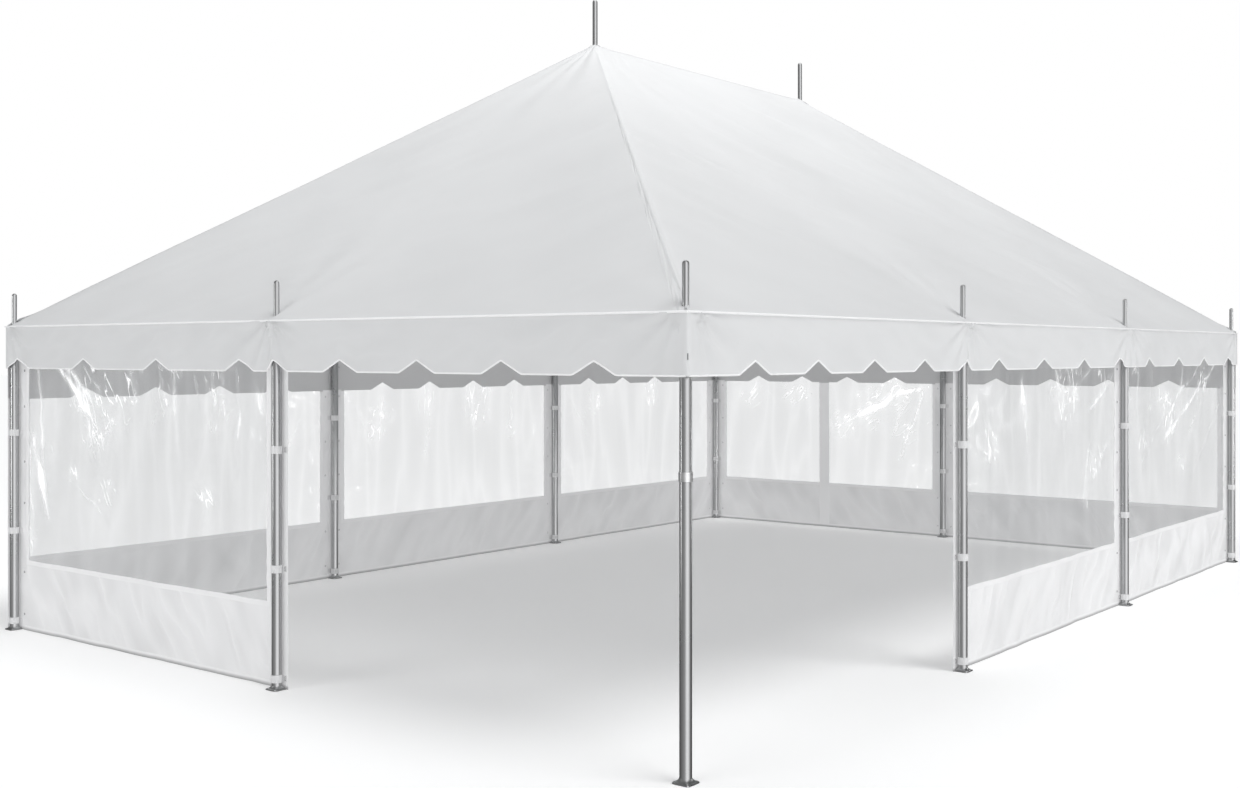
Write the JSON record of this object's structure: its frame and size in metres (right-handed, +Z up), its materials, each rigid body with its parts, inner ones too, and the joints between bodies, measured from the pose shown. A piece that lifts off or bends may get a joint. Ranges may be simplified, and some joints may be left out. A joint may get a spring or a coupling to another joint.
{
  "type": "marquee tent",
  "caption": "White frame marquee with a hipped canopy on two peaks, a notched valance, clear-window walls and an open corner.",
  "frame": {"origin": "on the ground at the middle of the floor, under the ridge", "axes": "+X along the long sides, +Y from the front long side to the back, +Z up; the open bays meet at the -X, -Y corner"},
  "size_m": [9.1, 6.1, 4.7],
  "materials": {
    "leg_tube": "galvanised steel tube, satin",
    "roof_tube": "mill aluminium tube, satin",
    "canopy_cloth": "white PVC-coated polyester, satin, taut",
    "valance_cloth": "white PVC-coated polyester with a bound edge",
    "wall_cloth": "white PVC-coated polyester, slightly wavy",
    "clear_film": "clear flexible PVC film, glossy and crinkled",
    "clamp_band": "white moulded nylon",
    "eyelet": "small steel rivets and eyelets"
  },
  "bodies": {
    "root": {"leg_front_left": "leg_tube", "leg_front_1": "leg_tube", "leg_front_2": "leg_tube", "leg_front_right": "leg_tube", "leg_left_middle": "leg_tube", "leg_right_middle": "leg_tube", "leg_back_left": "leg_tube", "leg_back_1": "leg_tube", "leg_back_2": "leg_tube", "leg_back_right": "leg_tube", "eave_rail_front": "roof_tube", "eave_rail_back": "roof_tube", "eave_rail_left": "roof_tube", "eave_rail_right": "roof_tube", "hip_rafter_front_left": "roof_tube", "hip_rafter_front_right": "roof_tube", "hip_rafter_back_left": "roof_tube", "hip_rafter_back_right": "roof_tube", "ridge_tube": "roof_tube", "crown_left": "roof_tube", "crown_right": "roof_tube", "canopy_front": "canopy_cloth", "canopy_back": "canopy_cloth", "canopy_left": "canopy_cloth", "canopy_right": "canopy_cloth", "valance_front": "valance_cloth", "valance_back": "valance_cloth", "valance_left": "valance_cloth", "valance_right": "valance_cloth", "wall_left": "wall_cloth", "wall_front_1": "wall_cloth", "wall_front_2": "wall_cloth", "wall_back_1": "wall_cloth", "wall_back_2": "wall_cloth", "wall_back_3": "wall_cloth", "wall_right_1": "wall_cloth", "wall_right_2": "wall_cloth", "window_left": "clear_film", "window_front_1": "clear_film", "window_front_2": "clear_film", "window_back_1": "clear_film", "window_back_2": "clear_film", "window_back_3": "clear_film", "window_right_1": "clear_film", "window_right_2": "clear_film"}
  },
  "joints": []
}
